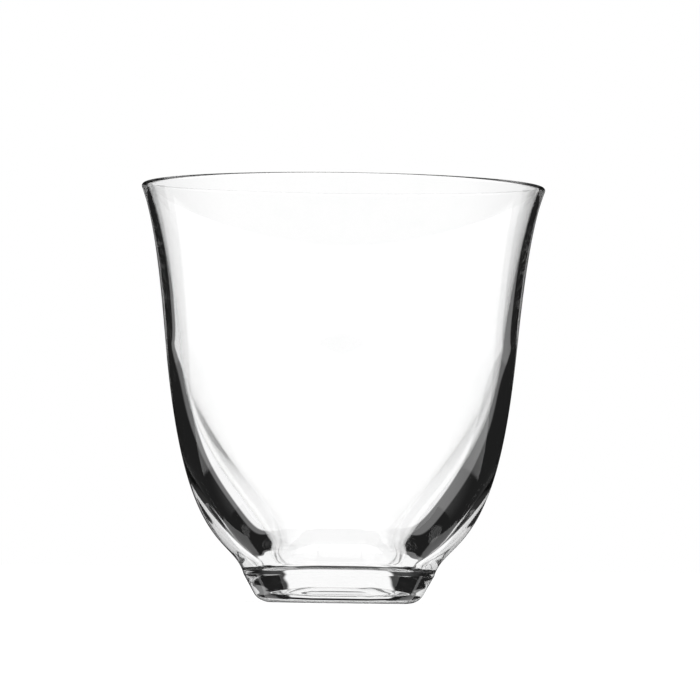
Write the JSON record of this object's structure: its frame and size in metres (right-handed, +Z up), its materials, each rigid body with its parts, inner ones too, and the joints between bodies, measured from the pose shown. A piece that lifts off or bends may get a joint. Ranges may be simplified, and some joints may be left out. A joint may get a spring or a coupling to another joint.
{
  "type": "rocks glass",
  "caption": "Clear tumbler with a round flared lip that runs down into a rounded-square belly and a low solid square foot, for short drinks and ice.",
  "frame": {"origin": "middle of the resting face under the foot", "axes": "+Z up along the glass's axis, towards the lip; the foot's flat sides face X and Y"},
  "size_m": [0.09, 0.09, 0.093],
  "materials": {
    "clear_glass": "clear colourless glass, fire polished, with a ground resting face"
  },
  "bodies": {
    "root": {"foot": "clear_glass", "bowl": "clear_glass", "lip": "clear_glass"}
  },
  "joints": []
}
